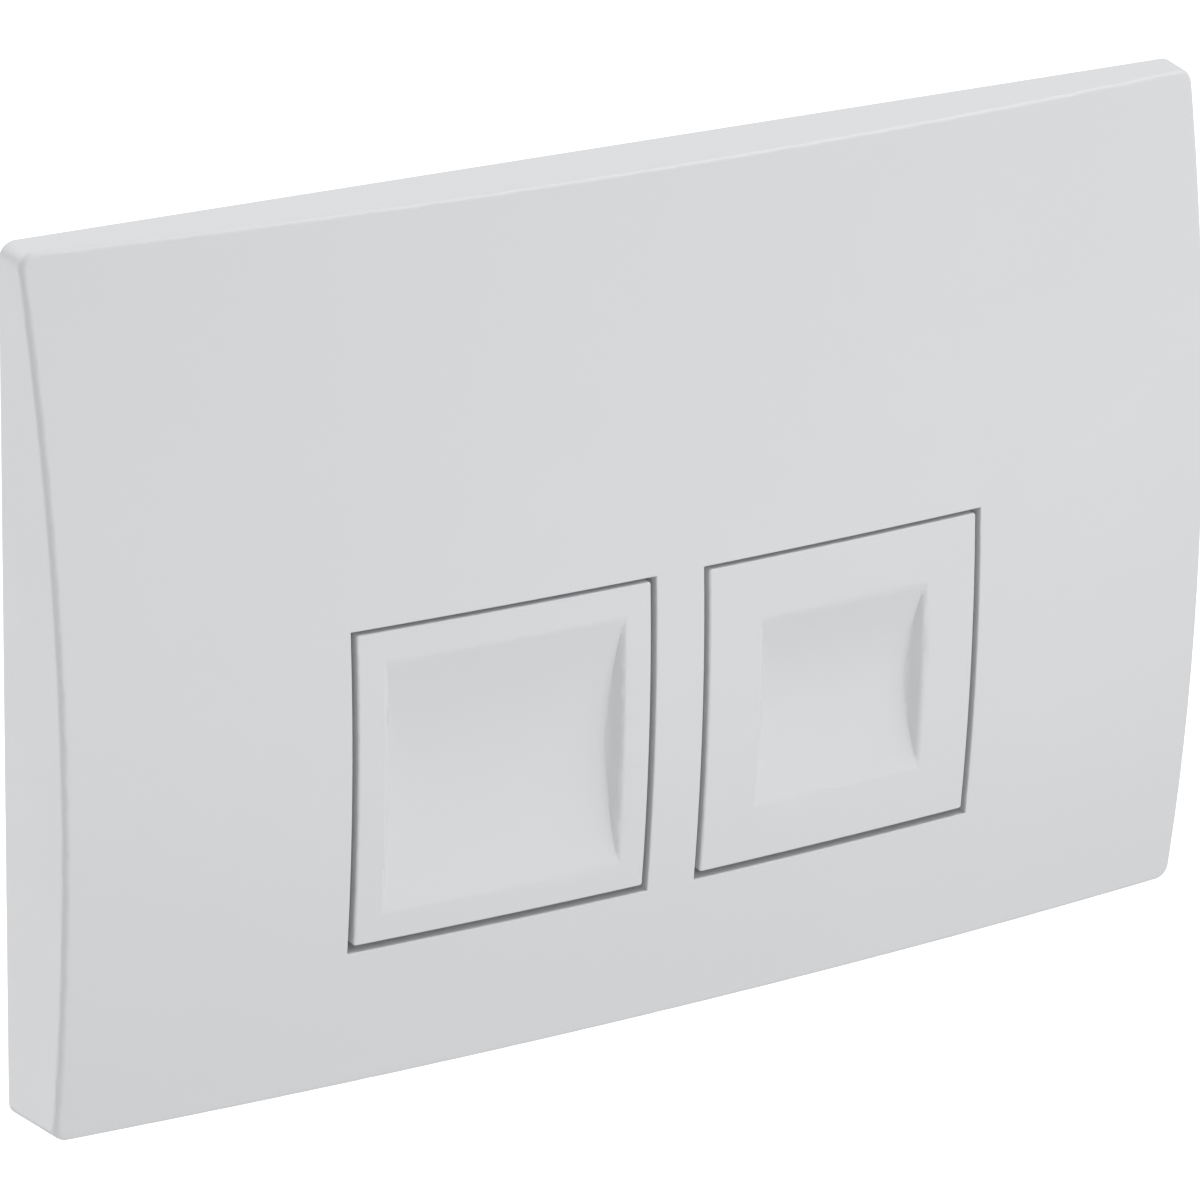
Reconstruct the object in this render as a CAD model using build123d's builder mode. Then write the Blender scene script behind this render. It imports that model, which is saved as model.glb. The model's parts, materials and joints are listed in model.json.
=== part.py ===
"""Dual flush button plate for a concealed cistern.

X runs to the right, Y into the wall and Z up, in millimetres. The origin is on the wall
plane, midway between the two fixing bolts. The face looks along -Y.
"""

from build123d import *
from math import asin, cos, degrees, isclose, radians, sin, tan
import os

# Cover plate: outline at the wall, and the double-curved face
plate_w = 246.0
plate_h = 164.0
plate_depth = 26.0  # face at its highest point, off the wall
crown_z = -22.0  # height of that point, level with the buttons' middles
bow_r = 400.0  # face's curve seen from the side, at its highest point
sweep_r = 1250.0  # face's arc seen from above
side_draft = 4.0
corner_r = 3.0
edge_r = 1.5
cover_wall = 2.5
rib_t = 1.4
rib_h = 2.5
rib_x = (80.0, 108.0)  # upright ribs, on both sides of the middle
rib_z = (36.0, -68.0)  # level ribs

# Buttons and the windows they stand in
button_size = 59.6
button_pitch = 72.0
button_corner_r = 0.6
button_edge_r = 0.5
button_wall = 2.2
button_rib_t = 1.4
button_rib_x = 14.0  # upright ribs, either side of the button's middle
button_rib_z = 10.0  # level ribs, above and below it
button_rib_short = 1.5  # ribs end this far inside the skirt
skirt_depth = 11.6  # back edge of the skirt, behind the face's highest point
side_gap = 1.1
top_gap = 0.75
bottom_gap = 1.3
window_edge_r = 0.3
collar_t = 2.0
collar_depth = 11.0

# Dished finger fields
full_dish = 48.0
half_dish = 36.5
dish_depth = 3.0
dish_slope = 60.0  # of the end walls, from the face
dish_foot_r = 2.5  # foot of the end walls
dish_foot_drop = 0.1  # end walls' foot below the bed, at the dish's middle
dish_edge_r = 1.5  # rim at the two ends
dish_soft_r = 8.0  # rim along the top and the bottom
cutter_reach = 6.0  # how far the dishes' cutters stand out past the rim
brow_lift = 0.01  # slope that keeps a cutter clear of the face, past the rim

# Hinge at the top of each button
press_deg = 5.0
pin_d = 3.0
pin_overhang = 0.25
pin_seat_gap = 0.03
hinge_gap = 0.05  # running clearance of the button on its pin
hinge_drop = 4.8  # below the button's top edge
hinge_depth = 9.6  # behind the face's highest point
knuckle_d = 7.5
knuckle_l = 5.0
ear_h = 10.0
ear_back = 3.4  # ear behind the pin's axis
snap_mouth = 2.6

# Stop hooks at the bottom of each button
hook_w = 8.0
hook_t = 2.0
hook_reach = 1.7
hook_gap = 0.2
hook_x = 18.0  # from the button's middle
stop_gap = 0.25

# Push rods, guides and springs
rod_drop = 18.0  # below the buttons' middles
rod_d = 6.0
rod_end = 48.0  # rod's tip, behind the wall
tip_d = 5.0
tip_l = 12.0
tip_chamfer = 0.8
groove_count = 4  # notches where the rod can be shortened
groove_pitch = 4.0
groove_lead = 2.0  # from the tip's shoulder to the first notch
groove_w = 1.0
groove_depth = 0.5
piston_d = 14.0
piston_t = 2.0
piston_proud = 1.5  # in front of the guide, at rest
socket_wall = 1.0  # extra wall round the screw's socket
press_post_w = 10.0
press_post_r = 3.0
press_gap = 0.3
screw_head_d = 12.0
screw_head_t = 2.5
screw_head_edge = 0.8
screw_d = 5.0
screw_l = 14.0
screw_gap = 0.05
adjust_l = 1.0  # bare thread between the screw's head and its lock nut
locknut_af = 8.0
locknut_t = 3.0
locknut_bevel = 30.0  # slope of the turned corners
guide_bore = 15.0
guide_wall = 1.5
guide_floor = 1.5
guide_back = 16.0  # guide's end, behind the wall
guide_flange_d = 24.0
guide_flange_t = 2.0
guide_gap = 0.1
rod_gap = 0.05  # running clearance of the rod in its guide
barb_h = 0.8
barb_l = 2.0
barb_w = 5.0
arm_l = 8.0  # snap arm that each barb stands on
arm_slit = 1.0
spring_d = 12.0  # middle of the wire
spring_wire = 1.0
spring_turns = 5.0
spring_gap = 0.1

# Mounting frame
frame_w = 196.0
frame_h = 120.0
frame_t = 3.0
frame_corner_r = 6.0
opening_w = 148.0
opening_top = 48.0
opening_bottom = -25.0
opening_r = 6.0
rim_t = 2.0
rim_h = 8.0
rim_edge_r = 0.6
lip_t = 1.8
lip_h = 5.0
stop_w = 5.0
stop_x = 25.0  # from the button's middle
slot_l = 12.0

# Snap tongues that hold the cover on the frame
tongue_w = 12.0
tongue_t = 1.8
tongue_x = 60.0
tongue_end = 2.5  # tongue's end, off the wall
tongue_gap = 0.3
catch_h = 1.5
catch_l = 2.6
catch_gap = 0.2

# Fixing bolts
bolt_pitch = 170.0
bolt_d = 8.0  # shank that goes into the wall box
bolt_end = 45.0
stud_d = 6.0  # thread in front, for the nut
stud_gap = 0.3
stud_l = 14.0
bolt_chamfer = 1.0
driver_slot_w = 1.2
driver_slot_depth = 2.0
washer_d = 14.0
washer_t = 1.2
nut_d = 16.0
nut_t = 8.0
nut_hub_d = 12.0
nut_hub_t = 1.5
nut_chamfer = 0.8
flute_d = 2.4
flute_count = 12
thread_gap = 0.05

over = 1.0  # how far a cut runs past the face that it opens

# Places worked out from the sizes above. The wall is y = 0, and the face is at -plate_depth.
button_z = crown_z
sweep_axis_y = sweep_r - plate_depth
sweep_axis = Axis((0, sweep_axis_y, 0), (0, 0, 1))
skirt_y = skirt_depth - plate_depth
collar_y = collar_depth - plate_depth
button_top = button_z + button_size / 2
button_bottom = button_z - button_size / 2
hinge_y = hinge_depth - plate_depth
hinge_z = button_top - hinge_drop
button_x = (-button_pitch / 2, button_pitch / 2)
window_w = button_size + 2 * side_gap
collar_w = window_w + 2 * collar_t
window_h = button_size + top_gap + bottom_gap
window_z = button_z + (top_gap - bottom_gap) / 2
rod_z = button_z - rod_drop
guide_front_y = -frame_t - guide_flange_t
guide_floor_y = guide_back - guide_floor
piston_front_y = guide_front_y - piston_proud
piston_back_y = piston_front_y + piston_t
locknut_front_y = piston_front_y - locknut_t
screw_seat_y = locknut_front_y - adjust_l
screw_front_y = screw_seat_y - screw_head_t
post_y = screw_front_y - press_gap
pressed_skirt_y = (
    hinge_y
    + (skirt_y - hinge_y) * cos(radians(press_deg))
    + (hinge_z - button_bottom) * sin(radians(press_deg))
)
stop_y = pressed_skirt_y + stop_gap
tongue_in_z = frame_h / 2 + tongue_gap


def wall_plane(y):
    """Plane parallel to the wall, drawn on as seen from the front."""
    return Plane.XZ.offset(-y)


def bore_plane(x, z):
    """Level plane through an axis that runs along Y, for turned profiles."""
    return Plane(origin=(x, 0, z), x_dir=(1, 0, 0), z_dir=(0, 0, 1))


def turned(x, z, outline):
    """Solid turned about the Y axis through x, z. The outline is (radius, y) points."""
    with BuildPart() as part:
        with BuildSketch(bore_plane(x, z)):
            with BuildLine():
                Polyline(*outline, close=True)
            make_face()
        revolve(axis=Axis((x, 0, z), (0, 1, 0)))
    return part.part


def sweep_plane(turn):
    """Upright plane out from the sweep's axis, where a revolve along the face starts. It
    is drawn on as distance from that axis, and height."""
    across = (sin(turn), -cos(turn), 0)
    return Plane((0, sweep_axis_y, 0), x_dir=across, z_dir=(across[1], -across[0], 0))


def crowned(set_back):
    """Block whose front is the plate's double-curved face, set back by so much. From the
    side the face is a parabola, and from above an arc about an upright axis."""
    half_turn = asin((plate_w / 2 + over) / (sweep_axis_y - over))
    reach = plate_h / 2 + abs(crown_z) + over
    fall = reach**2 / (2 * bow_r)
    front = sweep_r - set_back
    back = sweep_axis_y - over
    low = (front - fall, crown_z - reach)
    high = (front - fall, crown_z + reach)
    with BuildPart() as block:
        with BuildSketch(sweep_plane(-half_turn)):
            with BuildLine():
                Bezier(low, (front + fall, crown_z), high)
                Polyline(high, (back, high[1]), (back, low[1]), low)
            make_face()
        revolve(axis=sweep_axis, revolution_arc=2 * degrees(half_turn))
    return block.part


def dish_plane(x):
    """Level plane that touches the face at a button's middle. Its y runs into the wall."""
    turn = asin(x / sweep_r)
    middle = (sweep_r * sin(turn), sweep_axis_y - sweep_r * cos(turn), button_z)
    return Plane(middle, x_dir=(cos(turn), sin(turn), 0), z_dir=(0, 0, 1))


def dish(x, size):
    """Cutter for a finger field at x. Its ends are a profile revolved along the face's bow,
    its bed an arc revolved along the face's sweep, and the rim is rounded in both."""
    half = size / 2
    out = half + cutter_reach
    level = dish_plane(x)
    inward = level.y_dir
    up = level.z_dir
    bow_middle = level.origin + inward * bow_r
    half_rise = asin((out + cutter_reach) / bow_r)
    top_plane = Plane(
        bow_middle + (up * sin(half_rise) - inward * cos(half_rise)) * bow_r,
        x_dir=level.x_dir,
        z_dir=up * cos(half_rise) + inward * sin(half_rise),
    )
    # Ends, as half widths at depths: the foot, the rim, and the brow in front of the face
    rim_in = half**2 / (2 * sweep_r)
    wall_h = dish_depth + dish_foot_drop
    foot_in = rim_in + wall_h
    foot = half - wall_h / tan(radians(dish_slope))
    brow_in = rim_in + (half / sweep_r - brow_lift) * cutter_reach
    # Bed, as heights at distances from the sweep's axis
    turn = asin(x / sweep_r)
    half_turn = asin((out + cutter_reach) / sweep_r)
    rim = sweep_r - half**2 / (2 * bow_r)
    brow = rim - (half / bow_r - brow_lift) * cutter_reach
    front = sweep_r + 2 * cutter_reach
    with BuildPart() as cutter:
        with BuildSketch(top_plane) as ends:
            with BuildLine():
                Polyline(
                    (-foot, foot_in),
                    (foot, foot_in),
                    (half, rim_in),
                    (out, brow_in),
                    (out, -cutter_reach),
                    (-out, -cutter_reach),
                    (-out, brow_in),
                    (-half, rim_in),
                    close=True,
                )
            make_face()
            fillet(ends.vertices().filter_by(lambda v: isclose(abs(v.X), half)), dish_edge_r)
            fillet(ends.vertices().filter_by(lambda v: isclose(abs(v.X), foot)), dish_foot_r)
        revolve(axis=Axis(bow_middle, level.x_dir), revolution_arc=2 * degrees(half_rise))
        with BuildSketch(sweep_plane(turn - half_turn)) as bed:
            with BuildLine():
                ThreePointArc(
                    (rim, button_z - half),
                    (sweep_r - dish_depth, button_z),
                    (rim, button_z + half),
                )
                Polyline(
                    (rim, button_z + half),
                    (brow, button_z + out),
                    (front, button_z + out),
                    (front, button_z - out),
                    (brow, button_z - out),
                    (rim, button_z - half),
                )
            make_face()
            fillet(bed.vertices().filter_by(lambda v: isclose(v.X, rim)), dish_soft_r)
        revolve(axis=sweep_axis, revolution_arc=2 * degrees(half_turn), mode=Mode.INTERSECT)
    return cutter.part


def dish_skin(x, size):
    """A finger field's form one wall thickness larger, which stands inside the button."""
    sag = dish_depth - (size / 2) ** 2 / (2 * bow_r)
    dish_r = ((size / 2) ** 2 + sag**2) / (2 * sag)
    inside = dish_depth + button_wall + over
    lean = 1 / tan(radians(dish_slope))
    half_w = size / 2 + button_wall / sin(radians(dish_slope))
    turn = asin(x / sweep_r)
    half_turn = asin((size / 2 + 2 * cutter_reach) / sweep_r)
    with BuildPart() as skin:
        with BuildSketch(dish_plane(x)):
            with BuildLine():
                Polyline(
                    (-half_w - cutter_reach * lean, -cutter_reach),
                    (half_w + cutter_reach * lean, -cutter_reach),
                    (half_w - inside * lean, inside),
                    (-half_w + inside * lean, inside),
                    close=True,
                )
            make_face()
        extrude(amount=size, both=True)
        with BuildSketch(sweep_plane(turn - half_turn)):
            with Locations((sweep_r - dish_depth + dish_r, button_z)):
                Circle(dish_r + button_wall)
            with Locations((sweep_r - inside, button_z)):
                Rectangle(
                    inside + 2 * cutter_reach,
                    2 * size,
                    align=(Align.MIN, Align.CENTER),
                    mode=Mode.INTERSECT,
                )
        revolve(axis=sweep_axis, revolution_arc=2 * degrees(half_turn), mode=Mode.INTERSECT)
        bed = skin.faces().sort_by(Axis.Y)[-1]
        ends = bed.edges().sort_by(Axis.X)
        fillet([ends[0], ends[-1]], button_wall)
    return skin.part


def button(x, dish_size):
    """Moulded button cap at x, with its hinge knuckles, ribs, press post and stop hooks."""
    inner = button_size - 2 * button_wall
    with BuildPart() as hollow:
        with BuildSketch(wall_plane(skirt_y + over)):
            with Locations((x, button_z)):
                Rectangle(inner, inner)
        extrude(amount=skirt_depth + over)
        add(crowned(button_wall), mode=Mode.INTERSECT)
        add(dish_skin(x, dish_size), mode=Mode.SUBTRACT)
        with BuildSketch(wall_plane(skirt_y - button_rib_short)):
            with Locations((x - button_rib_x, button_z), (x + button_rib_x, button_z)):
                Rectangle(button_rib_t, inner)
            with Locations((x, button_z - button_rib_z), (x, button_z + button_rib_z)):
                Rectangle(inner, button_rib_t)
        extrude(amount=skirt_depth, mode=Mode.SUBTRACT)
        with BuildSketch(wall_plane(post_y - press_post_r)):
            with Locations((x, rod_z)):
                Rectangle(press_post_w, 2 * press_post_r)
        extrude(amount=skirt_depth, mode=Mode.SUBTRACT)
    with BuildPart() as cap:
        with BuildSketch(wall_plane(skirt_y)):
            with Locations((x, button_z)):
                RectangleRounded(button_size, button_size, button_corner_r)
        extrude(amount=skirt_depth)
        add(crowned(0), mode=Mode.INTERSECT)
        fillet(cap.faces().sort_by(Axis.Y)[0].edges(), button_edge_r)
        add(dish(x, dish_size), mode=Mode.SUBTRACT)
        add(hollow.part, mode=Mode.SUBTRACT)
        # Rounded end of the press post
        with BuildSketch(Plane.YZ.offset(x)):
            with Locations((post_y - press_post_r, rod_z)):
                Circle(press_post_r)
        extrude(amount=press_post_w / 2, both=True)
        # Hinge knuckles inside the skirt's two sides
        knuckle_x = button_size / 2 - knuckle_l / 2
        for side in (-1, 1):
            with BuildSketch(Plane.YZ.offset(x + side * knuckle_x)):
                with Locations((hinge_y, hinge_z)):
                    Circle(knuckle_d / 2)
            extrude(amount=knuckle_l / 2, both=True)
        # Stop hooks that catch behind the window's collar
        hook_bottom = button_bottom - bottom_gap - hook_reach
        hook_h = button_bottom + button_wall - hook_bottom
        with BuildSketch(wall_plane(collar_y + hook_gap + hook_t)):
            with Locations((x - hook_x, hook_bottom), (x + hook_x, hook_bottom)):
                Rectangle(hook_w, hook_h, align=(Align.CENTER, Align.MIN))
        extrude(amount=hook_t)
        with BuildSketch(Plane.YZ.offset(x)):
            with Locations((hinge_y, hinge_z)):
                Circle(pin_d / 2 + hinge_gap)
        extrude(amount=button_size, both=True, mode=Mode.SUBTRACT)
    return cap.part


def plate_block(inset):
    """The plate's outer form with its walls and face taken in by so much."""
    with BuildPart() as block:
        with BuildSketch(wall_plane(0)):
            Rectangle(plate_w - 2 * inset, plate_h - 2 * inset)
        extrude(amount=plate_depth, taper=side_draft)
        add(crowned(inset), mode=Mode.INTERSECT)
    return block.part


def plate_ribs():
    """Low ribs across the inside of the face."""
    with BuildPart() as ribs:
        with BuildSketch(wall_plane(0)):
            with Locations(*[(side * x, 0) for x in rib_x for side in (-1, 1)]):
                Rectangle(rib_t, plate_h)
            with Locations(*[(0, z) for z in rib_z]):
                Rectangle(plate_w, rib_t)
        extrude(amount=plate_depth)
        add(crowned(cover_wall + rib_h), mode=Mode.SUBTRACT)
    return ribs.part


def plate_fittings():
    """What stands behind the face: ribs, window collars, pin ears and snap tongues."""
    ear_y = hinge_y + ear_back
    with BuildPart() as fittings:
        add(plate_ribs())
        with BuildSketch(wall_plane(collar_y)):
            with Locations(*[(x, window_z) for x in button_x]):
                Rectangle(collar_w, window_h + 2 * collar_t)
        extrude(amount=collar_depth)
        with BuildSketch(wall_plane(ear_y)):
            with Locations(*[(x, hinge_z) for x in button_x]):
                Rectangle(collar_w, ear_h)
        extrude(amount=collar_depth)
        # Tongues outside the frame's rim, with a catch on the inner side
        for side in (-1, 1):
            mid_z = side * (tongue_in_z + tongue_t / 2)
            with BuildSketch(wall_plane(-tongue_end)):
                with Locations((-tongue_x, mid_z), (tongue_x, mid_z)):
                    Rectangle(tongue_w, tongue_t)
            extrude(amount=plate_depth)
            for x in (-tongue_x, tongue_x):
                with BuildSketch(Plane.YZ.offset(x)):
                    with BuildLine():
                        Polyline(
                            (-tongue_end, mid_z),
                            (-tongue_end, side * tongue_in_z),
                            (-tongue_end - catch_l, side * (tongue_in_z - catch_h)),
                            (-tongue_end - catch_l, mid_z),
                            close=True,
                        )
                    make_face()
                extrude(amount=tongue_w / 2, both=True)
        add(plate_block(cover_wall / 2), mode=Mode.INTERSECT)
    return fittings.part


def cover_plate():
    """Moulded cover: curved face, drafted walls, and two windows for the buttons."""
    with BuildPart() as cover:
        add(plate_block(0))
        wall_edges = cover.faces().sort_by(Axis.Y)[-1].edges()
        face_edges = cover.faces().sort_by(Axis.Y)[0].edges()
        fillet(cover.edges() - wall_edges - face_edges, corner_r)
        fillet(cover.faces().sort_by(Axis.Y)[0].edges(), edge_r)
        add(plate_block(cover_wall), mode=Mode.SUBTRACT)
        add(plate_fittings())
        with BuildSketch(wall_plane(0)):
            with Locations(*[(x, window_z) for x in button_x]):
                Rectangle(window_w, window_h)
        extrude(amount=plate_depth, mode=Mode.SUBTRACT)
        windows = cover.faces().sort_by(Axis.Y)[0].inner_wires()
        fillet([edge for window in windows for edge in window.edges()], window_edge_r)
        # Pin seats in the ears, open to the back so that the pins snap in
        with BuildSketch(Plane.YZ):
            with Locations((hinge_y, hinge_z)):
                Circle(pin_d / 2 + pin_seat_gap)
                Rectangle(2 * ear_back, snap_mouth, align=(Align.MIN, Align.CENTER))
        extrude(amount=button_pitch / 2 + collar_w / 2 + over, both=True, mode=Mode.SUBTRACT)
    return cover.part


def hinge_pin(x):
    """Steel pin along the top of a button, held in the collar's two ears."""
    reach = window_w / 2 + collar_t + pin_overhang
    with BuildPart() as pin:
        with BuildSketch(Plane.YZ.offset(x)):
            with Locations((hinge_y, hinge_z)):
                Circle(pin_d / 2)
        extrude(amount=reach, both=True)
        chamfer(pin.edges(), pin_overhang)
    return pin.part


def mounting_frame():
    """Frame on the wall: rim for the cover's tongues, opening, guide holes and stops."""
    opening_h = opening_top - opening_bottom
    opening_z = (opening_top + opening_bottom) / 2
    stop_z = button_bottom + button_wall / 2
    catch_back = -tongue_end + catch_gap
    catch_front = -tongue_end - catch_l - catch_gap
    with BuildPart() as frame:
        with BuildSketch(wall_plane(0)):
            RectangleRounded(frame_w, frame_h, frame_corner_r)
        extrude(amount=rim_h)
        fillet(frame.faces().sort_by(Axis.Y)[0].edges(), rim_edge_r)
        with BuildSketch(wall_plane(-frame_t)):
            RectangleRounded(frame_w - 2 * rim_t, frame_h - 2 * rim_t, frame_corner_r - rim_t)
        extrude(amount=rim_h, mode=Mode.SUBTRACT)
        # Lip round the opening, then the opening itself
        with BuildSketch(wall_plane(0)):
            with Locations((0, opening_z)):
                RectangleRounded(opening_w + 2 * lip_t, opening_h + 2 * lip_t, opening_r + lip_t)
        extrude(amount=lip_h)
        with BuildSketch(wall_plane(0)):
            with Locations((0, opening_z)):
                RectangleRounded(opening_w, opening_h, opening_r)
        extrude(amount=rim_h, mode=Mode.SUBTRACT)
        # Stops under the buttons' lower corners
        with BuildSketch(wall_plane(0)):
            with Locations(*[(x + side * stop_x, stop_z) for x in button_x for side in (-1, 1)]):
                Rectangle(stop_w, stop_w)
        extrude(amount=-stop_y)
        # Holes for the guides and slots for the bolts
        with BuildSketch(wall_plane(0)):
            with Locations(*[(x, rod_z) for x in button_x]):
                Circle(guide_bore / 2 + guide_wall + guide_gap)
            with Locations((-bolt_pitch / 2, 0), (bolt_pitch / 2, 0)):
                SlotOverall(slot_l, stud_d + 2 * stud_gap)
        extrude(amount=rim_h, mode=Mode.SUBTRACT)
        # Windows in the rim for the tongues' catches
        with BuildSketch(wall_plane(catch_back)):
            for side in (-1, 1):
                with Locations((-tongue_x, side * frame_h / 2), (tongue_x, side * frame_h / 2)):
                    Rectangle(tongue_w + 2 * tongue_gap, 2 * rim_t + 2 * tongue_gap)
        extrude(amount=catch_back - catch_front, mode=Mode.SUBTRACT)
    return frame.part


def rod_guide(x):
    """Cup clipped into the frame, holding the spring and guiding the rod."""
    bore = guide_bore / 2
    body = bore + guide_wall
    flange = guide_flange_d / 2
    hole = rod_d / 2 + rod_gap
    with BuildPart() as guide:
        add(
            turned(
                x,
                rod_z,
                [
                    (bore, guide_front_y),
                    (flange, guide_front_y),
                    (flange, -frame_t),
                    (body, -frame_t),
                    (body, guide_back),
                    (hole, guide_back),
                    (hole, guide_floor_y),
                    (bore, guide_floor_y),
                ],
            )
        )
        # Barbs behind the frame
        for side in (-1, 1):
            with BuildSketch(bore_plane(x, rod_z)):
                with BuildLine():
                    Polyline(
                        (side * (body - guide_wall / 2), guide_gap),
                        (side * (body + barb_h), guide_gap),
                        (side * body, guide_gap + barb_l),
                        (side * (body - guide_wall / 2), guide_gap + barb_l),
                        close=True,
                    )
                make_face()
            extrude(amount=barb_w / 2, both=True)
        # Slits that free the barbs' arms on three sides
        slit_y = guide_gap - arm_slit
        slit_z = (barb_w + arm_slit) / 2
        with BuildSketch(Plane.YZ.offset(x)):
            with Locations((slit_y, rod_z - slit_z), (slit_y, rod_z + slit_z)):
                Rectangle(arm_l + arm_slit, arm_slit, align=(Align.MIN, Align.CENTER))
            with Locations((slit_y, rod_z)):
                Rectangle(arm_slit, barb_w, align=(Align.MIN, Align.CENTER))
        extrude(amount=guide_flange_d, both=True, mode=Mode.SUBTRACT)
    return guide.part


def push_rod(x):
    """Rod with a piston at its front, a socket for the adjusting screw and a stepped tip."""
    socket = screw_d / 2 + screw_gap
    socket_end = screw_seat_y + screw_l + over
    shoulder_y = rod_end - tip_l
    grooves = []
    for count in range(groove_count, 0, -1):
        groove_y = shoulder_y - groove_lead - (count - 1) * groove_pitch
        grooves += [
            (rod_d / 2, groove_y - groove_w / 2),
            (rod_d / 2 - groove_depth, groove_y),
            (rod_d / 2, groove_y + groove_w / 2),
        ]
    outline = [
        (socket, piston_front_y),
        (piston_d / 2, piston_front_y),
        (piston_d / 2, piston_back_y),
        (rod_d / 2 + socket_wall, piston_back_y),
        (rod_d / 2 + socket_wall, socket_end),
        (rod_d / 2, socket_end + socket_wall),
        *grooves,
        (rod_d / 2, shoulder_y),
        (tip_d / 2, shoulder_y),
        (tip_d / 2, rod_end - tip_chamfer),
        (tip_d / 2 - tip_chamfer, rod_end),
        (0, rod_end),
        (0, socket_end),
        (socket, socket_end),
    ]
    return turned(x, rod_z, outline)


def adjusting_screw(x):
    """Round-headed screw that the button presses on."""
    head = screw_head_d / 2
    outline = [
        (0, screw_front_y),
        (head - screw_head_edge, screw_front_y),
        (head, screw_front_y + screw_head_edge),
        (head, screw_seat_y),
        (screw_d / 2, screw_seat_y),
        (screw_d / 2, screw_seat_y + screw_l),
        (0, screw_seat_y + screw_l),
    ]
    return turned(x, rod_z, outline)


def lock_nut(x):
    """Hexagon nut that locks the adjusting screw against the rod."""
    flat = locknut_af / 2
    corner = flat / cos(radians(180 / 6))
    bevel = (corner - flat) * tan(radians(locknut_bevel))
    blank = [
        (0, locknut_front_y),
        (flat, locknut_front_y),
        (corner, locknut_front_y + bevel),
        (corner, piston_front_y - bevel),
        (flat, piston_front_y),
        (0, piston_front_y),
    ]
    with BuildPart() as nut:
        with BuildSketch(wall_plane(piston_front_y)):
            with Locations((x, rod_z)):
                RegularPolygon(flat, 6, major_radius=False)
                Circle(screw_d / 2 + screw_gap, mode=Mode.SUBTRACT)
        extrude(amount=locknut_t)
        add(turned(x, rod_z, blank), mode=Mode.INTERSECT)
    return nut.part


def return_spring(x):
    """Wire spring in the guide, between the guide's floor and the rod's piston."""
    first = piston_back_y + spring_gap + spring_wire / 2
    length = guide_floor_y - spring_gap - spring_wire / 2 - first
    with BuildPart() as spring:
        with BuildLine():
            coil = Helix(
                length / spring_turns,
                length,
                spring_d / 2,
                center=(x, first, rod_z),
                direction=(0, 1, 0),
            )
        with BuildSketch(Plane(coil @ 0, z_dir=coil % 0)):
            Circle(spring_wire / 2)
        sweep(path=coil, is_frenet=True)
    return spring.part


def fixing_bolt(x):
    """Stepped bolt: shank into the wall box, and a thread in front for the nut."""
    shank = bolt_d / 2
    stud = stud_d / 2
    outline = [
        (0, -stud_l),
        (stud - bolt_chamfer, -stud_l),
        (stud, bolt_chamfer - stud_l),
        (stud, 0),
        (shank, 0),
        (shank, bolt_end - bolt_chamfer),
        (shank - bolt_chamfer, bolt_end),
        (0, bolt_end),
    ]
    with BuildPart() as bolt:
        add(turned(x, 0, outline))
        with BuildSketch(wall_plane(-stud_l)):
            with Locations((x, 0)):
                Rectangle(2 * stud_d, driver_slot_w)
        extrude(amount=-driver_slot_depth, mode=Mode.SUBTRACT)
    return bolt.part


def fixing_washer(x):
    """Washer over the frame's slot."""
    with BuildPart() as washer:
        with BuildSketch(wall_plane(-frame_t)):
            with Locations((x, 0)):
                Circle(washer_d / 2)
                Circle(stud_d / 2 + stud_gap, mode=Mode.SUBTRACT)
        extrude(amount=washer_t)
    return washer.part


def fixing_nut(x):
    """Fluted hand nut in front of the washer."""
    seat_y = -frame_t - washer_t
    front_y = seat_y - nut_t
    rim = nut_d / 2
    blank = [
        (0, seat_y),
        (rim, seat_y),
        (rim, front_y + nut_chamfer),
        (rim - nut_chamfer, front_y),
        (0, front_y),
    ]
    with BuildPart() as nut:
        with BuildSketch(wall_plane(seat_y)):
            with Locations((x, 0)):
                Circle(nut_hub_d / 2)
        extrude(amount=nut_hub_t)
        with BuildSketch(wall_plane(seat_y - nut_hub_t)):
            with Locations((x, 0)):
                Circle(rim)
                with PolarLocations(rim, flute_count):
                    Circle(flute_d / 2, mode=Mode.SUBTRACT)
        extrude(amount=nut_t - nut_hub_t)
        add(turned(x, 0, blank), mode=Mode.INTERSECT)
        with BuildSketch(wall_plane(seat_y)):
            with Locations((x, 0)):
                Circle(stud_d / 2 + thread_gap)
        extrude(amount=nut_t, mode=Mode.SUBTRACT)
    return nut.part


def write(part, name):
    part.label = name
    export_step(part, f"parts/{name}.step")


os.makedirs("parts", exist_ok=True)
write(cover_plate(), "cover_plate")
write(mounting_frame(), "mounting_frame")
for flush, side, dish_size in (("full", -1, full_dish), ("half", 1, half_dish)):
    x = side * button_pitch / 2
    write(button(x, dish_size), f"{flush}_flush_button")
    write(hinge_pin(x), f"{flush}_hinge_pin")
    write(rod_guide(x), f"{flush}_rod_guide")
    write(push_rod(x), f"{flush}_push_rod")
    write(adjusting_screw(x), f"{flush}_adjusting_screw")
    write(lock_nut(x), f"{flush}_lock_nut")
    write(return_spring(x), f"{flush}_return_spring")
for hand, side in (("left", -1), ("right", 1)):
    x = side * bolt_pitch / 2
    write(fixing_bolt(x), f"{hand}_fixing_bolt")
    write(fixing_washer(x), f"{hand}_fixing_washer")
    write(fixing_nut(x), f"{hand}_fixing_nut")
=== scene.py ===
"""Dual flush plate: its finishes, threads, springs, studio and camera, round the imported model.

All lengths are metres, in the model's own frame: X right, Y into the wall, Z up.
"""

import json
from math import ceil, cos, pi, radians, sin

import bmesh
import bpy
from mathutils import Matrix, Vector


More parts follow.
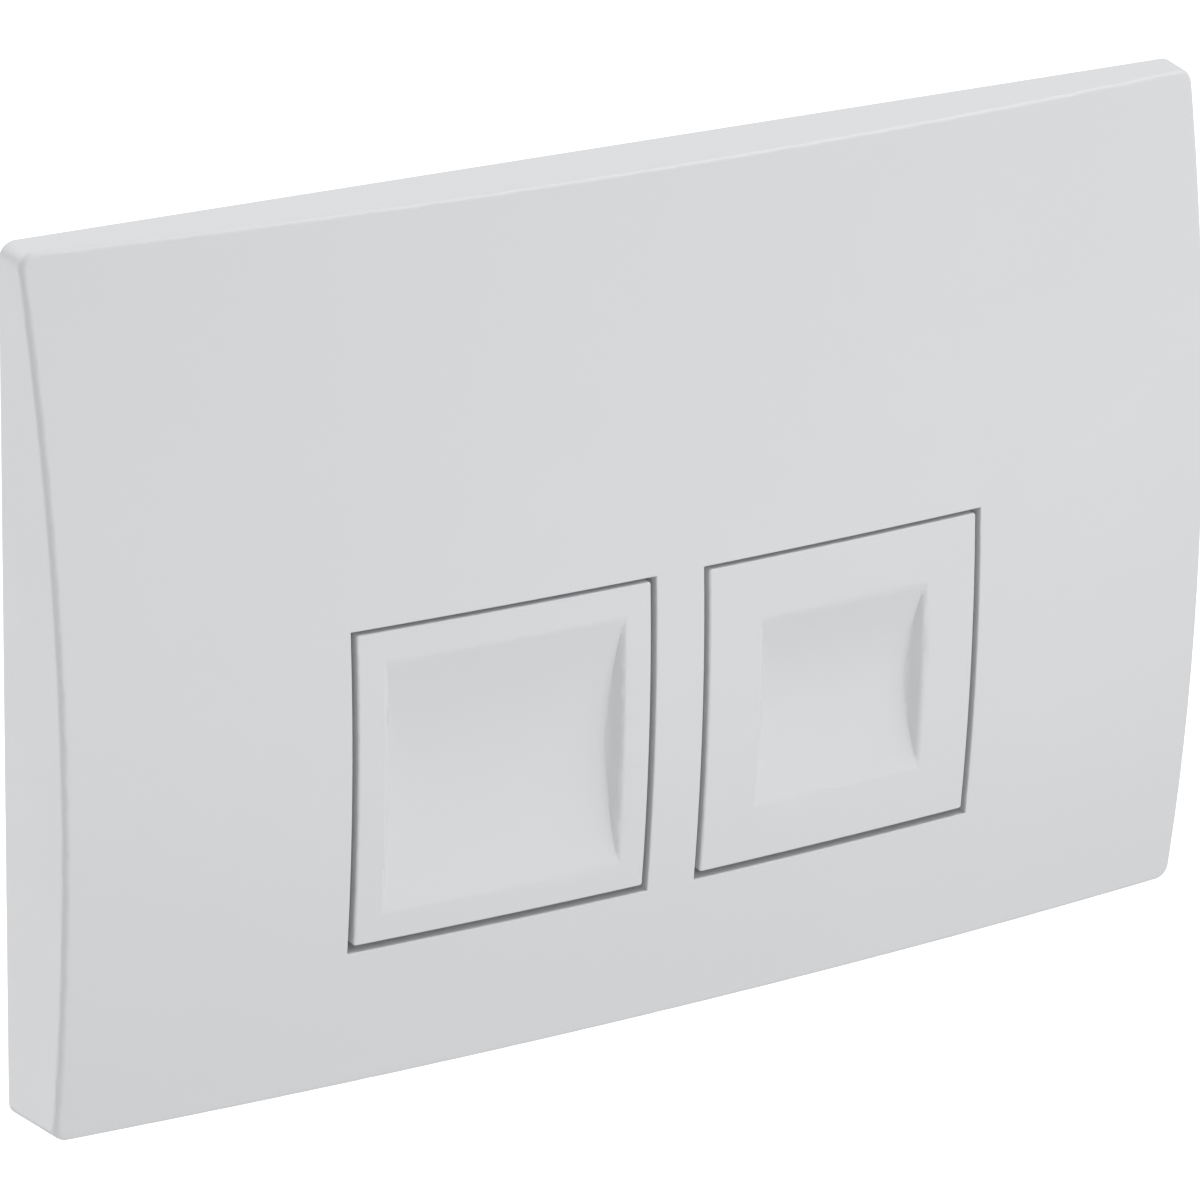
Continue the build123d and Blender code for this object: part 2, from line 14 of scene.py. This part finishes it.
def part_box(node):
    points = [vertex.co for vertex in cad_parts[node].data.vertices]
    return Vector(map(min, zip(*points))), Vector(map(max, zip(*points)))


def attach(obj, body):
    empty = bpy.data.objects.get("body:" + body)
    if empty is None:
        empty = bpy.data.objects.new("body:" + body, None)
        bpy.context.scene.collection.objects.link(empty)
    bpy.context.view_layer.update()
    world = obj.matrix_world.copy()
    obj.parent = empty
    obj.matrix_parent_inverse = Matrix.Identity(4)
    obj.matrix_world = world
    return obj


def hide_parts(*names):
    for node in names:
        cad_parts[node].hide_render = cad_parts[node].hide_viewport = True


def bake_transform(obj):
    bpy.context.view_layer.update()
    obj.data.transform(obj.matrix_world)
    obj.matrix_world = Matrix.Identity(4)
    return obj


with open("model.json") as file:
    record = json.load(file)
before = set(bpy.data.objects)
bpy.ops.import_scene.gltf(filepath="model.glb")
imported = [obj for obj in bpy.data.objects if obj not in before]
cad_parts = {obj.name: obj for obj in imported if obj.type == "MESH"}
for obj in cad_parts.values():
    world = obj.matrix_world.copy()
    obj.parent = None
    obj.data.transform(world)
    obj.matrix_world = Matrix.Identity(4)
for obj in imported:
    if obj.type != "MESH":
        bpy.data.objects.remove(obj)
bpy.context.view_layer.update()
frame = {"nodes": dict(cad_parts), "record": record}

# Camera, as found from the plate's edges and windows in the photograph
view_azimuth = -32.06  # degrees, to the plate's left
view_elevation = 21.42
view_roll = 1.52
view_distance = 1.1153
view_target = Vector((-0.00644, -0.008, -0.00153))
view_lens = 183.79  # mm
view_sensor = 36.0  # mm
view_reach = (0.05, 100.0)  # nearest and furthest

# Studio: floor far below, as under a plate on its wall
floor_z = -1.9
floor_half = 12.0
floor_tint = (0.8, 0.8, 0.8, 1)
floor_rough = 0.9
white = (1, 1, 1, 1)
sky_level = 0.581  # light from all round
background_level = 1.0  # what the camera sees behind the plate

# Softboxes: name, degrees round from the plate's front, degrees up, distance, width and watts
softboxes = (
    ("key_softbox", 70.0, 55.0, 2.2, 1.2, 15.3),
    ("front_softbox", 0.0, -15.0, 2.2, 1.2, 7.0),
    ("right_softbox", 35.0, -15.0, 2.2, 1.2, 5.6),
    ("low_back_softbox", -140.0, -20.0, 1.5, 1.2, 5.8),
    ("high_back_softbox", -150.0, 45.0, 1.1, 0.8, 2.7),
)

# Shading: on the white mouldings, narrow seams are joined and only sharper corners are parted
seam_width = 2e-6
corner_angle = 50.0  # degrees
rounded_weight = 25  # pull of the large faces on the normals, out of 100
crisp_weight = 50
sharp_angle = 25.0  # degrees, on the pieces made here

# Finishes: middle part of a noise's range that is used, and heights of the fine relief
noise_span = (0.3, 0.7)
flow_scale = 90.0
plastic_ior = 1.5
grain_height = 0.0001
line_height = 0.00005

# Fixing bolts: a shank into the wall box, and a stud in front with a driver slot
bolt_x = 0.085
shank_r = 0.004
shank_end = 0.045
shank_pitch = 0.00125
stud_r = 0.003
stud_end = -0.014
stud_pitch = 0.001
bolt_chamfer = 0.001
driver_slot = (0.0012, 0.002)  # width and depth
thread_facets = 48
# One turn of a thread, in shares of its pitch: place along it, and depth below the crest
thread_form = ((0.0, 0.61), (0.25, 0.61), (0.5625, 0.0), (0.6875, 0.0))

# Return springs: round wire, with one closed turn at each end
spring_wire = 0.001
spring_turns = 5  # between the closed ones
closed_pitch = 0.00115
wire_facets = 16
turn_steps = 32


def shade_group(name, inputs, outputs):
    """Empty shader node group with named float or colour sockets."""
    group = bpy.data.node_groups.new(name, "ShaderNodeTree")
    for socket, kind in inputs:
        group.interface.new_socket(socket, in_out="INPUT", socket_type=kind)
    for socket, kind in outputs:
        group.interface.new_socket(socket, in_out="OUTPUT", socket_type=kind)
    entry = group.nodes.new("NodeGroupInput")
    leave = group.nodes.new("NodeGroupOutput")
    return group, entry.outputs, leave.inputs


def add_node(tree, kind, **values):
    """Node with its properties and unlinked sockets set by name."""
    node = tree.nodes.new(kind)
    for name, value in values.items():
        if hasattr(node, name):
            setattr(node, name, value)
        else:
            node.inputs[name.replace("_", " ")].default_value = value
    return node


def mapped_range(tree, value, low, high):
    """Noise value spread from low to high, each a number or a socket."""
    node = tree.nodes.new("ShaderNodeMapRange")
    tree.links.new(value, node.inputs["Value"])
    node.inputs["From Min"].default_value = noise_span[0]
    node.inputs["From Max"].default_value = noise_span[1]
    for name, limit in (("To Min", low), ("To Max", high)):
        if isinstance(limit, bpy.types.NodeSocket):
            tree.links.new(limit, node.inputs[name])
        else:
            node.inputs[name].default_value = limit
    return node.outputs["Result"]


def moulding_grain():
    """Spark-eroded grain of a mould: roughness that wanders, and a fine height."""
    tree, given, made = shade_group(
        "moulding grain",
        [
            ("Grain Scale", "NodeSocketFloat"),
            ("Least Roughness", "NodeSocketFloat"),
            ("Most Roughness", "NodeSocketFloat"),
        ],
        [("Roughness", "NodeSocketFloat"), ("Height", "NodeSocketFloat")],
    )
    place = tree.nodes.new("ShaderNodeTexCoord").outputs["Object"]
    flow = add_node(tree, "ShaderNodeTexNoise", Scale=flow_scale, Detail=3.0, Roughness=0.55)
    tree.links.new(place, flow.inputs["Vector"])
    rough = mapped_range(
        tree, flow.outputs["Fac"], given["Least Roughness"], given["Most Roughness"]
    )
    tree.links.new(rough, made["Roughness"])
    grain = add_node(tree, "ShaderNodeTexNoise", Detail=2.0, Roughness=0.6)
    tree.links.new(place, grain.inputs["Vector"])
    tree.links.new(given["Grain Scale"], grain.inputs["Scale"])
    tree.links.new(grain.outputs["Fac"], made["Height"])
    return tree


def tint_drift():
    """Slow drift between two close tints, as in any batch of plastic or plating."""
    tree, given, made = shade_group(
        "tint drift",
        [
            ("Drift Scale", "NodeSocketFloat"),
            ("First Tint", "NodeSocketColor"),
            ("Second Tint", "NodeSocketColor"),
        ],
        [("Tint", "NodeSocketColor")],
    )
    place = tree.nodes.new("ShaderNodeTexCoord").outputs["Object"]
    clouds = add_node(tree, "ShaderNodeTexNoise", Detail=4.0, Roughness=0.5)
    tree.links.new(place, clouds.inputs["Vector"])
    tree.links.new(given["Drift Scale"], clouds.inputs["Scale"])
    mix = add_node(tree, "ShaderNodeMix", data_type="RGBA")
    tree.links.new(mapped_range(tree, clouds.outputs["Fac"], 0.0, 1.0), mix.inputs["Factor"])
    tree.links.new(given["First Tint"], mix.inputs["A"])
    tree.links.new(given["Second Tint"], mix.inputs["B"])
    tree.links.new(mix.outputs["Result"], made["Tint"])
    return tree


def drawn_lines():
    """Fine lines of drawn wire, or specks of plating, by how the stretch differs by axis."""
    tree, given, made = shade_group(
        "drawn lines",
        [
            ("Stretch", "NodeSocketVector"),
            ("Least Roughness", "NodeSocketFloat"),
            ("Most Roughness", "NodeSocketFloat"),
        ],
        [("Roughness", "NodeSocketFloat"), ("Height", "NodeSocketFloat")],
    )
    place = tree.nodes.new("ShaderNodeTexCoord").outputs["Object"]
    stretch = add_node(tree, "ShaderNodeVectorMath", operation="MULTIPLY")
    tree.links.new(place, stretch.inputs[0])
    tree.links.new(given["Stretch"], stretch.inputs[1])
    lines = add_node(tree, "ShaderNodeTexNoise", Scale=1.0, Detail=3.0, Roughness=0.6)
    tree.links.new(stretch.outputs["Vector"], lines.inputs["Vector"])
    rough = mapped_range(
        tree, lines.outputs["Fac"], given["Least Roughness"], given["Most Roughness"]
    )
    tree.links.new(rough, made["Roughness"])
    tree.links.new(lines.outputs["Fac"], made["Height"])
    return tree


grain_group = moulding_grain()
tint_group = tint_drift()
line_group = drawn_lines()


def new_finish(name):
    """Material with its shader, ready for groups."""
    finish = bpy.data.materials.new(name)
    finish.use_nodes = True
    return finish, finish.node_tree, finish.node_tree.nodes["Principled BSDF"]


def place_group(tree, group, **values):
    """One of the shared groups in a material, with its own values."""
    node = tree.nodes.new("ShaderNodeGroup")
    node.node_tree = group
    for name, value in values.items():
        node.inputs[name.replace("_", " ")].default_value = value
    return node.outputs


def raise_bump(tree, height, shader, strength, distance):
    """Bump of a height into the shader's normal."""
    bump = add_node(tree, "ShaderNodeBump", Strength=strength, Distance=distance)
    tree.links.new(height, bump.inputs["Height"])
    tree.links.new(bump.outputs["Normal"], shader.inputs["Normal"])


def moulded_plastic(name, tints, drift, rough, grain, bump):
    """Plastic as it leaves the mould: two close tints, a roughness range and a grain."""
    finish, tree, shader = new_finish(name)
    tint = place_group(
        tree, tint_group, Drift_Scale=drift, First_Tint=tints[0], Second_Tint=tints[1]
    )
    skin = place_group(
        tree, grain_group, Grain_Scale=grain, Least_Roughness=rough[0], Most_Roughness=rough[1]
    )
    tree.links.new(tint["Tint"], shader.inputs["Base Color"])
    tree.links.new(skin["Roughness"], shader.inputs["Roughness"])
    raise_bump(tree, skin["Height"], shader, bump, grain_height)
    shader.inputs["IOR"].default_value = plastic_ior
    return finish


def metal(name, tints, drift, rough, stretch, bump):
    """Plated or drawn metal with its fine relief."""
    finish, tree, shader = new_finish(name)
    tint = place_group(
        tree, tint_group, Drift_Scale=drift, First_Tint=tints[0], Second_Tint=tints[1]
    )
    lines = place_group(
        tree, line_group, Stretch=stretch, Least_Roughness=rough[0], Most_Roughness=rough[1]
    )
    tree.links.new(tint["Tint"], shader.inputs["Base Color"])
    tree.links.new(lines["Roughness"], shader.inputs["Roughness"])
    raise_bump(tree, lines["Height"], shader, bump, line_height)
    shader.inputs["Metallic"].default_value = 1.0
    return finish


finishes = {
    "white_plastic": moulded_plastic(
        "satin white moulding",
        ((0.765, 0.775, 0.79, 1), (0.775, 0.785, 0.80, 1)),
        drift=14.0,
        rough=(0.36, 0.42),
        grain=5200.0,
        bump=0.03,
    ),
    "grey_plastic": moulded_plastic(
        "grey frame moulding",
        ((0.40, 0.41, 0.42, 1), (0.43, 0.44, 0.45, 1)),
        drift=30.0,
        rough=(0.50, 0.60),
        grain=2600.0,
        bump=0.12,
    ),
    "rod_plastic": moulded_plastic(
        "natural rod moulding",
        ((0.70, 0.69, 0.64, 1), (0.74, 0.73, 0.69, 1)),
        drift=60.0,
        rough=(0.34, 0.44),
        grain=3600.0,
        bump=0.06,
    ),
    "dark_plastic": moulded_plastic(
        "black nut moulding",
        ((0.022, 0.022, 0.024, 1), (0.032, 0.032, 0.034, 1)),
        drift=80.0,
        rough=(0.42, 0.54),
        grain=3000.0,
        bump=0.10,
    ),
    "bright_steel": metal(
        "drawn stainless wire",
        ((0.60, 0.60, 0.61, 1), (0.68, 0.68, 0.68, 1)),
        drift=120.0,
        rough=(0.18, 0.30),
        stretch=(60.0, 9000.0, 9000.0),
        bump=0.08,
    ),
    "zinc_steel": metal(
        "zinc plated steel",
        ((0.58, 0.59, 0.63, 1), (0.68, 0.66, 0.62, 1)),
        drift=160.0,
        rough=(0.26, 0.40),
        stretch=(2500.0, 2500.0, 2500.0),
        bump=0.05,
    ),
}


def dress(piece, slot):
    """One finish on a whole piece, shaded smoothly over its large faces."""
    piece.data.materials.clear()
    piece.data.materials.append(finishes[slot])
    rounded = slot == "white_plastic"
    if rounded:
        join_seams(piece)
    smooth = piece.modifiers.new("even shading", "WEIGHTED_NORMAL")
    smooth.mode = "FACE_AREA_WITH_ANGLE"
    smooth.weight = rounded_weight if rounded else crisp_weight
    smooth.keep_sharp = not rounded


def join_seams(piece):
    """One skin over a moulding's rounded edges, parted only at its true corners."""
    seams = piece.modifiers.new("joined seams", "WELD")
    seams.merge_threshold = seam_width
    corners = piece.modifiers.new("true corners", "EDGE_SPLIT")
    corners.split_angle = radians(corner_angle)
    corners.use_edge_sharp = False


for subpart in frame["record"]["subparts"]:
    dress(frame["nodes"][subpart["node"]], subpart["material_slot"])


def new_piece(name, shape):
    """Object made of a bmesh, smooth except at its sharp edges."""
    bmesh.ops.recalc_face_normals(shape, faces=shape.faces)
    mesh = bpy.data.meshes.new(name)
    shape.to_mesh(mesh)
    shape.free()
    mesh.shade_smooth()
    mesh.set_sharp_from_angle(angle=radians(sharp_angle))
    piece = bpy.data.objects.new(name, mesh)
    bpy.context.scene.collection.objects.link(piece)
    return piece


def add_thread(shape, x, near, far, radius, pitch, near_lead, far_lead):
    """Closed right-hand thread along Y from near to far. The leads are chamfers at its ends."""
    root = radius - thread_form[0][1] * pitch
    turns = range(-1, ceil((far - near) / pitch) + 2)
    rows = []
    for rise, depth in [(turn + step, depth) for turn in turns for step, depth in thread_form]:
        row = []
        for facet in range(thread_facets):
            share = facet / thread_facets
            y = near + (rise + share) * pitch
            inside = near < y < far
            y = min(max(y, near), far)
            limit = radius - max(near_lead - (y - near), far_lead - (far - y), 0)
            r = min(radius - depth * pitch if inside else root, limit)
            row.append(shape.verts.new((x + r * sin(2 * pi * share), y, r * cos(2 * pi * share))))
        rows.append(row)
    per_turn = len(thread_form)
    for low, high in zip(rows, rows[1:]):
        for facet in range(thread_facets - 1):
            shape.faces.new((low[facet], low[facet + 1], high[facet + 1], high[facet]))
    for count in range(len(rows) - per_turn - 1):
        low, high = rows[count], rows[count + 1]
        next_low, next_high = rows[count + per_turn], rows[count + per_turn + 1]
        shape.faces.new((low[-1], next_low[0], next_high[0], high[-1]))
    shape.faces.new(rows[0])
    shape.faces.new(rows[-1])
    bmesh.ops.remove_doubles(shape, verts=shape.verts, dist=1e-7)


def cut_slot(piece, x):
    """Driver slot across the front of a bolt's stud."""
    width, depth = driver_slot
    shape = bmesh.new()
    bmesh.ops.create_cube(shape, size=1.0)
    bmesh.ops.scale(shape, vec=(4 * stud_r, 2 * depth, width), verts=shape.verts)
    bmesh.ops.translate(shape, vec=(x, stud_end, 0), verts=shape.verts)
    cutter = new_piece("slot_cutter", shape)
    cut = piece.modifiers.new("driver slot", "BOOLEAN")
    cut.operation = "DIFFERENCE"
    cut.object = cutter
    bpy.context.view_layer.update()
    finished = piece.evaluated_get(bpy.context.evaluated_depsgraph_get())
    piece.data = bpy.data.meshes.new_from_object(finished)
    piece.modifiers.clear()
    bpy.data.objects.remove(cutter)


def threaded_bolt(hand, x):
    """Bolt with its two threads, in place of the plain solid."""
    shape = bmesh.new()
    add_thread(shape, x, stud_end, 0.0, stud_r, stud_pitch, bolt_chamfer, 0.0)
    add_thread(shape, x, 0.0, shank_end, shank_r, shank_pitch, 0.0, bolt_chamfer)
    bolt = new_piece(hand + "_threaded_bolt", shape)
    cut_slot(bolt, x)
    dress(bolt, "zinc_steel")
    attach(bolt, "plate")
    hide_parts(hand + "_fixing_bolt")


def wire_spring(flush):
    """Spring of round wire with one closed turn at each end, in place of the plain solid."""
    solid = flush + "_return_spring"
    low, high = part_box(solid)
    x, z = (low[0] + high[0]) / 2, (low[2] + high[2]) / 2
    wire_r = spring_wire / 2
    coil_r = (high[0] - low[0]) / 2 - wire_r
    length = high[1] - low[1] - spring_wire
    open_pitch = (length - 2 * closed_pitch) / spring_turns
    shape = bmesh.new()
    rings = []
    for step in range((spring_turns + 2) * turn_steps + 1):
        turn = step / turn_steps
        closed = min(turn, 1) + max(turn - 1 - spring_turns, 0)
        middle = low[1] + wire_r + closed * closed_pitch + (turn - closed) * open_pitch
        ring = []
        for facet in range(wire_facets):
            share = facet / wire_facets
            r = coil_r + wire_r * cos(2 * pi * share)
            y = middle + wire_r * sin(2 * pi * share)
            place = (x + r * sin(2 * pi * turn), y, z + r * cos(2 * pi * turn))
            ring.append(shape.verts.new(place))
        rings.append(ring)
    for near, far in zip(rings, rings[1:]):
        for facet in range(wire_facets):
            shape.faces.new((near[facet - 1], near[facet], far[facet], far[facet - 1]))
    shape.faces.new(rings[0])
    shape.faces.new(rings[-1])
    spring = new_piece(flush + "_wire_spring", shape)
    spring.data.materials.append(finishes["bright_steel"])
    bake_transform(spring)
    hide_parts(solid)


threaded_bolt("left", -bolt_x)
threaded_bolt("right", bolt_x)
wire_spring("full")
wire_spring("half")


def studio_shell():
    """Floor and world: even light on the plate, and white wherever the camera looks past it."""
    signs = ((-1, -1), (1, -1), (1, 1), (-1, 1))
    corners = [(x * floor_half, y * floor_half, floor_z) for x, y in signs]
    mesh = bpy.data.meshes.new("floor")
    mesh.from_pydata(corners, [], [(0, 1, 2, 3)])
    floor = bpy.data.objects.new("floor", mesh)
    bpy.context.scene.collection.objects.link(floor)
    finish, tree, shader = new_finish("pale floor")
    shader.inputs["Base Color"].default_value = floor_tint
    shader.inputs["Roughness"].default_value = floor_rough
    shader.inputs["Emission Color"].default_value = white
    tree.links.new(seen_by_camera(tree), shader.inputs["Emission Strength"])
    mesh.materials.append(finish)
    world = bpy.data.worlds.new("studio")
    bpy.context.scene.world = world
    world.use_nodes = True
    tree = world.node_tree
    level = add_node(tree, "ShaderNodeMix", data_type="FLOAT")
    tree.links.new(seen_by_camera(tree), level.inputs["Factor"])
    level.inputs["A"].default_value = sky_level
    level.inputs["B"].default_value = background_level
    sky = tree.nodes["Background"]
    sky.inputs["Color"].default_value = white
    tree.links.new(level.outputs["Result"], sky.inputs["Strength"])


def seen_by_camera(tree):
    """1 for a ray straight from the camera, 0 for any other."""
    return tree.nodes.new("ShaderNodeLightPath").outputs["Is Camera Ray"]


def direction(azimuth, elevation):
    """Unit vector from the plate's middle, by degrees from its front and up."""
    turn = radians(azimuth)
    rise = radians(elevation)
    return Vector((sin(turn) * cos(rise), -cos(turn) * cos(rise), sin(rise)))


def softbox(name, azimuth, elevation, distance, width, watts):
    """Square softbox aimed at the plate."""
    light = bpy.data.lights.new(name, "AREA")
    light.shape = "SQUARE"
    light.size = width
    light.energy = watts
    lamp = bpy.data.objects.new(name, light)
    bpy.context.scene.collection.objects.link(lamp)
    lamp.location = view_target + distance * direction(azimuth, elevation)
    lamp.rotation_euler = (view_target - lamp.location).to_track_quat("-Z", "Y").to_euler()
    lamp.visible_camera = False


def photo_camera():
    """Camera at the photograph's viewing angle."""
    roll = radians(view_roll)
    back = direction(view_azimuth, view_elevation)
    level = direction(view_azimuth + 90, 0)
    upright = back.cross(level)
    right = cos(roll) * level + sin(roll) * upright
    up = cos(roll) * upright - sin(roll) * level
    lens = bpy.data.cameras.new("photo_camera")
    lens.lens = view_lens
    lens.sensor_width = view_sensor
    lens.clip_start, lens.clip_end = view_reach
    camera = bpy.data.objects.new("photo_camera", lens)
    bpy.context.scene.collection.objects.link(camera)
    place = view_target + back * view_distance
    axes = Matrix((right, up, back)).transposed().to_4x4()
    camera.matrix_world = Matrix.Translation(place) @ axes
    bpy.context.scene.camera = camera


studio_shell()
for box in softboxes:
    softbox(*box)
photo_camera()

bpy.context.scene.view_settings.view_transform = "Standard"

bpy.context.view_layer.update()
